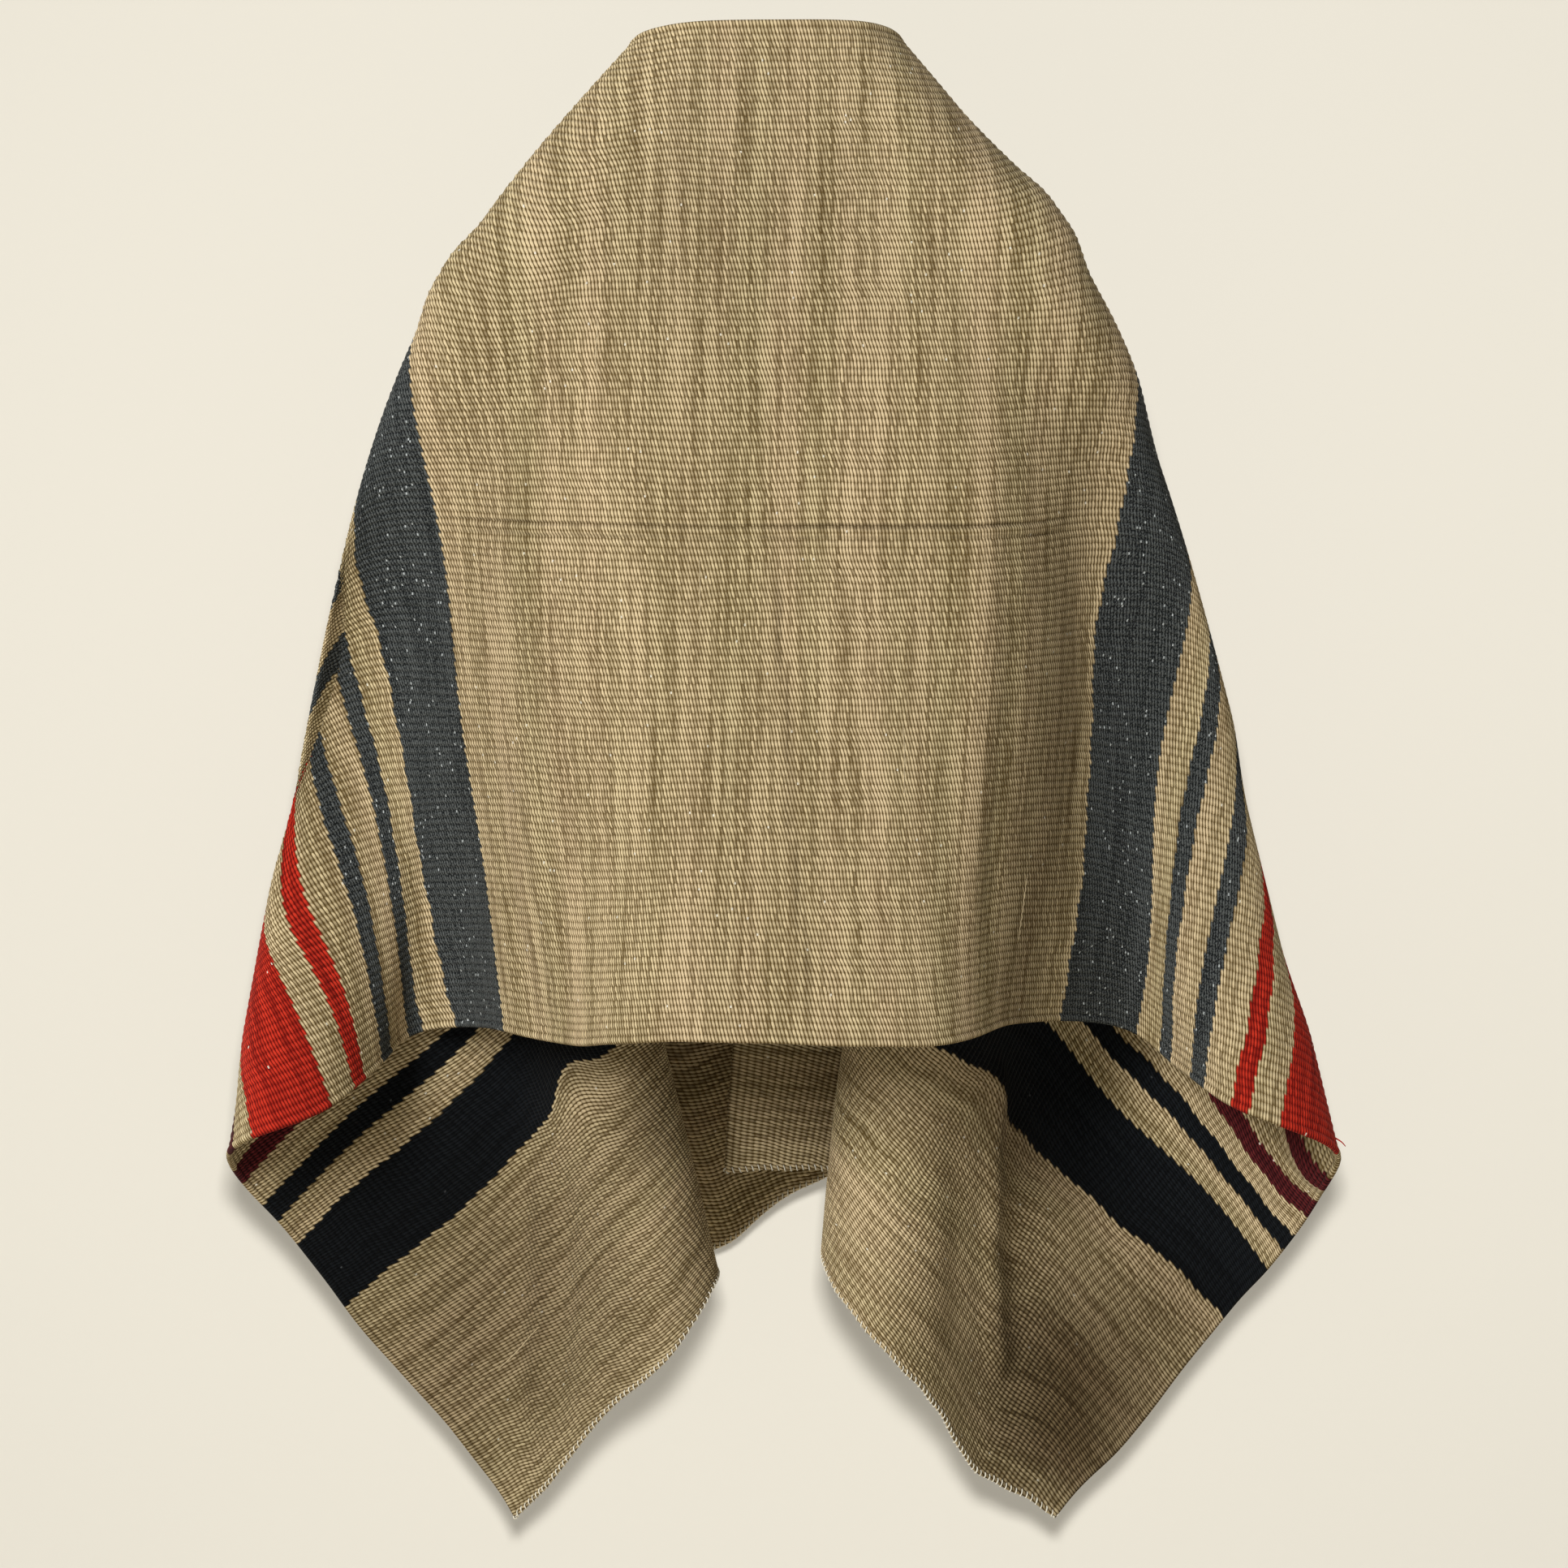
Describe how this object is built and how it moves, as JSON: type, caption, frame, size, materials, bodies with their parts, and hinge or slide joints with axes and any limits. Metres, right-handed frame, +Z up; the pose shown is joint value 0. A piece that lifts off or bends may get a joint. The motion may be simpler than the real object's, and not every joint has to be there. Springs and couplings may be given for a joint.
{
  "type": "blanket poncho",
  "caption": "Rectangular striped wool blanket worn as a poncho round the shoulders, hanging hollow with a fold over each arm and fluted ends in front.",
  "frame": {"origin": "middle of the neck opening, where the garment rests on a neck or stand, a finger's width below the collar's top edge", "axes": "+Z up, -Y the way the garment's back faces, +X towards its right end"},
  "size_m": [0.8474, 0.3401, 1.1385],
  "materials": {
    "back_stretch": "tan weft-faced wool, matt",
    "left_arm_stretch": "black, grey and red striped wool, matt",
    "right_arm_stretch": "black, grey and red striped wool, matt",
    "left_front_end": "tan weft-faced wool, matt",
    "right_front_end": "tan weft-faced wool, matt"
  },
  "bodies": {
    "root": {"back_stretch": "back_stretch", "left_arm_stretch": "left_arm_stretch", "right_arm_stretch": "right_arm_stretch", "left_front_end": "left_front_end", "right_front_end": "right_front_end"}
  },
  "joints": []
}
